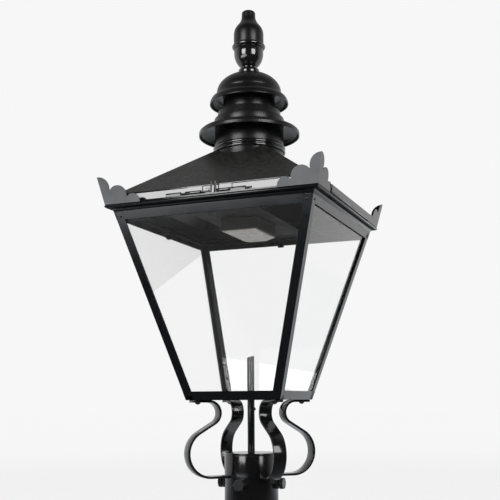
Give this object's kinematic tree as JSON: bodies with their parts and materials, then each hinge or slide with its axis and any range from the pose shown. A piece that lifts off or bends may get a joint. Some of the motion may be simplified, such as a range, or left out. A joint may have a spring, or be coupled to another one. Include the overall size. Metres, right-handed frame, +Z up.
{
  "type": "post top lantern",
  "caption": "Tapered four-sided glass lantern with a hinged roof, tiered ventilator and finial, on a clamped sleeve that slips over a post.",
  "frame": {"origin": "centre of the post sleeve's open mouth", "axes": "+Z up along the post; the roof's hinge is on the front, which faces -Y"},
  "size_m": [0.3838, 0.3838, 0.9018],
  "materials": {
    "frame_paint": "gloss black paint on sheet metal",
    "roof_paint": "gloss black paint on sheet metal",
    "mount_paint": "gloss black paint on welded steel",
    "black_fasteners": "painted steel with worn edges",
    "plated_steel": "painted steel rod",
    "gear_housing": "satin black casing",
    "opal_diffuser": "mottled translucent panel",
    "clear_glass": "clear flat glass"
  },
  "bodies": {
    "frame": {"bottom_frame": "frame_paint", "clamp_nuts": "black_fasteners", "conduit_stem": "frame_paint", "corner_bar_back_left": "frame_paint", "corner_bar_back_right": "frame_paint", "corner_bar_front_left": "frame_paint", "corner_bar_front_right": "frame_paint", "corner_rivets": "frame_paint", "crest_back_left": "frame_paint", "crest_back_right": "frame_paint", "crest_front_left": "frame_paint", "crest_front_right": "frame_paint", "earth_screw": "plated_steel", "gallery": "frame_paint", "gear_box": "gear_housing", "gear_screws": "plated_steel", "gear_tray": "gear_housing", "glass_pane_back": "clear_glass", "glass_pane_front": "clear_glass", "glass_pane_left": "clear_glass", "glass_pane_right": "clear_glass", "glazing_clips": "frame_paint", "hinge_keeper_left": "frame_paint", "hinge_keeper_right": "frame_paint", "led_diffuser": "opal_diffuser", "post_sleeve": "mount_paint", "side_strip_back": "frame_paint", "side_strip_left": "frame_paint", "side_strip_right": "frame_paint", "sleeve_cap": "mount_paint", "strap_back_left": "mount_paint", "strap_back_right": "mount_paint", "strap_front_left": "mount_paint", "strap_front_right": "mount_paint", "strap_screws": "black_fasteners", "top_rail": "frame_paint"},
    "lid": {"roof_lid": "roof_paint", "lower_neck": "roof_paint", "chimney_collar": "roof_paint", "lower_canopy": "roof_paint", "step_drum": "roof_paint", "upper_neck": "roof_paint", "dome_brim": "roof_paint", "dome": "roof_paint", "finial_bowl": "roof_paint", "finial_ring": "roof_paint", "finial_cap": "roof_paint", "tie_bridge": "roof_paint", "tie_rod": "plated_steel", "tie_nut": "plated_steel", "hinge_lug_left": "roof_paint", "hinge_lug_right": "roof_paint", "hinge_pin": "plated_steel", "skirt_stud": "roof_paint"},
    "hinge_bolt": {"hinge_bolt": "plated_steel"},
    "clamp_bolt_front": {"clamp_bolt_front": "black_fasteners"},
    "clamp_bolt_right": {"clamp_bolt_right": "black_fasteners"},
    "clamp_bolt_back": {"clamp_bolt_back": "black_fasteners"},
    "clamp_bolt_left": {"clamp_bolt_left": "black_fasteners"}
  },
  "joints": [
    {"name": "lid_hinge", "type": "hinge", "parent": "frame", "child": "lid", "pos_m": [0, -0.175, 0.526], "axis": [1, 0, 0], "range_deg": [0, 55]},
    {"name": "hinge_bolt_slide", "type": "slide", "parent": "lid", "child": "hinge_bolt", "axis": [1, 0, 0], "range_m": [0, 0.0035]},
    {"name": "clamp_bolt_front_screw", "type": "slide", "parent": "frame", "child": "clamp_bolt_front", "axis": [0, 1, 0], "range_m": [-0.004, 0.0025]},
    {"name": "clamp_bolt_right_screw", "type": "slide", "parent": "frame", "child": "clamp_bolt_right", "axis": [-1, 0, 0], "range_m": [-0.004, 0.0025]},
    {"name": "clamp_bolt_back_screw", "type": "slide", "parent": "frame", "child": "clamp_bolt_back", "axis": [0, -1, 0], "range_m": [-0.004, 0.0025]},
    {"name": "clamp_bolt_left_screw", "type": "slide", "parent": "frame", "child": "clamp_bolt_left", "axis": [1, 0, 0], "range_m": [-0.004, 0.0025]}
  ]
}
